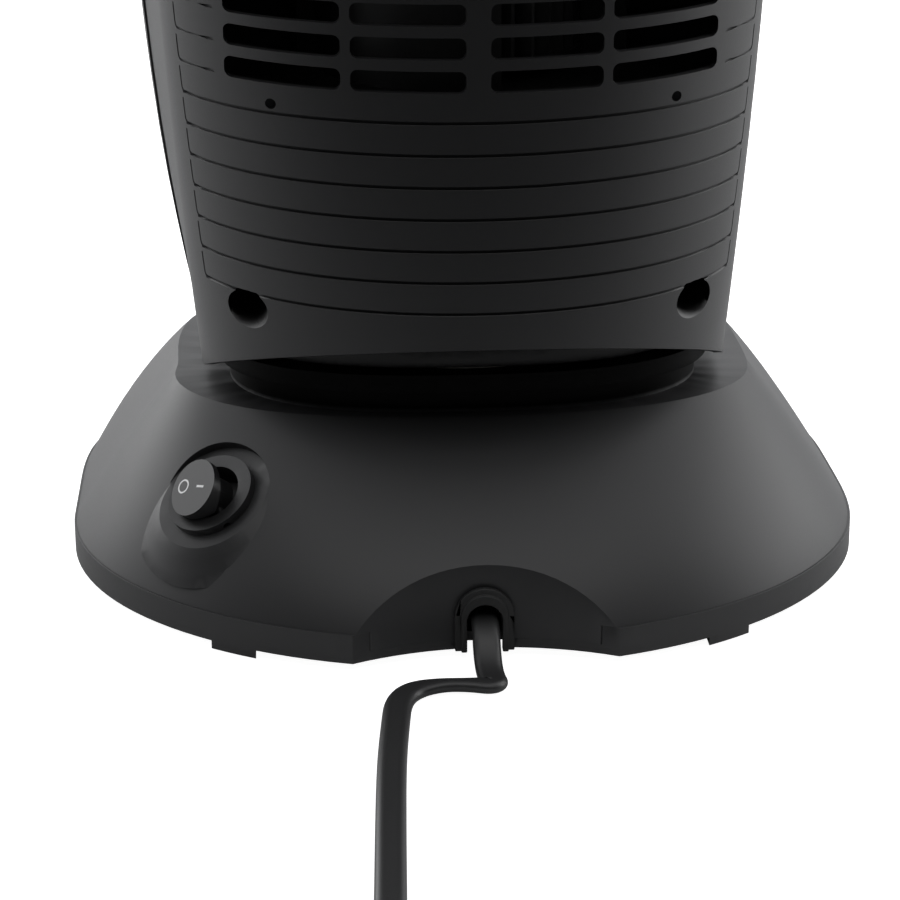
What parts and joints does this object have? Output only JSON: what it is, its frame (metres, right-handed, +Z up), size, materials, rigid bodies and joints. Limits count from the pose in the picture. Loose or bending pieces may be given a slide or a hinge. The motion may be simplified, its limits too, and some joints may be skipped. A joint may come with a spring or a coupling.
{
  "type": "tower fan heater",
  "caption": "Swivelling tower fan heater with a domed base, slotted air intake at the rear, louvred outlet, round rocker switch and a flat mains lead.",
  "frame": {"origin": "on the floor under the swivel axis, at the centre of the base", "axes": "+Z up along the swivel axis, +Y towards the rear with the cord, air leaves towards -Y"},
  "size_m": [0.2094, 0.4587, 0.4624],
  "materials": {
    "body_plastic": "fine-grained charcoal moulding",
    "inner_plastic": "plain black moulding",
    "trim_plastic": "satin black moulding",
    "switch_plastic": "satin black moulding",
    "button_plastic": "satin dark grey moulding",
    "rubber": "matt black rubber",
    "cord_sheath": "matt black flexible sheath",
    "white_nylon": "plain natural nylon",
    "zinc_steel": "zinc-plated steel",
    "black_steel": "blackened steel",
    "iron": "raw ballast plate",
    "fan_aluminium": "plain rolled aluminium",
    "brass": "plain brass",
    "ceramic": "heater ceramic under film",
    "board_green": "soldered circuit board",
    "part_black": "moulded electrical parts",
    "panel_gloss": "glossy black panel",
    "lens_gloss": "smoked display window"
  },
  "bodies": {
    "base": {"base_cover": "body_plastic", "base_plate": "body_plastic", "rubber_feet": "rubber", "base_screws": "zinc_steel", "ballast_plate": "iron", "cord_grommet": "rubber", "cord_clamp": "white_nylon", "clamp_screws": "zinc_steel", "terminal_block": "white_nylon", "tilt_switch": "white_nylon", "switch_housing": "switch_plastic", "switch_terminals": "brass", "swivel_motor": "zinc_steel", "swivel_motor_screws": "zinc_steel", "swivel_washer": "white_nylon", "power_cord": "cord_sheath", "power_cord_coil": "cord_sheath", "cord_tie": "rubber", "power_plug": "cord_sheath", "plug_blades": "brass"},
    "tower": {"turntable": "inner_plastic", "swivel_gear": "white_nylon", "hub_retainer": "white_nylon", "retainer_screws": "zinc_steel", "rear_cover": "body_plastic", "front_cover": "body_plastic", "housing_screws": "black_steel", "lower_bracket": "inner_plastic", "upper_bracket": "inner_plastic", "bracket_screws": "black_steel", "fan_motor": "black_steel", "motor_screws": "zinc_steel", "upper_bearing": "brass", "blower_guide": "inner_plastic", "blower_tongue": "inner_plastic", "heater_frame": "inner_plastic", "ptc_elements": "ceramic", "heater_fins": "fan_aluminium", "thermal_cutout": "inner_plastic", "outlet_grille": "trim_plastic", "power_board": "board_green", "power_parts": "part_black", "top_cover": "body_plastic", "control_panel": "panel_gloss", "display_lens": "lens_gloss", "control_board": "board_green", "board_screws": "zinc_steel", "tact_switches": "part_black"},
    "blower": {"impeller": "inner_plastic", "impeller_shaft": "zinc_steel"},
    "pinion": {"swivel_pinion": "white_nylon", "pinion_shaft": "zinc_steel"},
    "rocker": {"switch_rocker": "switch_plastic"},
    "button_1": {"push_button_1": "button_plastic"},
    "button_2": {"push_button_2": "button_plastic"},
    "button_3": {"push_button_3": "button_plastic"},
    "button_4": {"push_button_4": "button_plastic"}
  },
  "joints": [
    {"name": "tower_swivel", "type": "hinge", "parent": "base", "child": "tower", "pos_m": [0, 0, 0.06], "axis": [0, 0, 1], "range_deg": [-35, 35]},
    {"name": "pinion_spin", "type": "hinge", "parent": "base", "child": "pinion", "pos_m": [-0.03215, 0, 0.0475], "axis": [0, 0, 1], "range_deg": [-105, 105]},
    {"name": "blower_spin", "type": "hinge", "parent": "tower", "child": "blower", "pos_m": [0, 0.014, 0.2], "axis": [0, 0, 1], "continuous": true},
    {"name": "rocker_tilt", "type": "hinge", "parent": "base", "child": "rocker", "pos_m": [0.06597, 0.05135, 0.03247], "axis": [0.3123, -0.886, 0.3427], "range_deg": [0, 40]},
    {"name": "button_1_press", "type": "slide", "parent": "tower", "child": "button_1", "axis": [0, 0, 1], "range_m": [-0.001, 0], "stiffness_N_per_m": 600},
    {"name": "button_2_press", "type": "slide", "parent": "tower", "child": "button_2", "axis": [0, 0, 1], "range_m": [-0.001, 0], "stiffness_N_per_m": 600},
    {"name": "button_3_press", "type": "slide", "parent": "tower", "child": "button_3", "axis": [0, 0, 1], "range_m": [-0.001, 0], "stiffness_N_per_m": 600},
    {"name": "button_4_press", "type": "slide", "parent": "tower", "child": "button_4", "axis": [0, 0, 1], "range_m": [-0.001, 0], "stiffness_N_per_m": 600}
  ],
  "couplings": [
    {"joint": "pinion_spin", "follows": "tower_swivel", "ratio": -3}
  ]
}
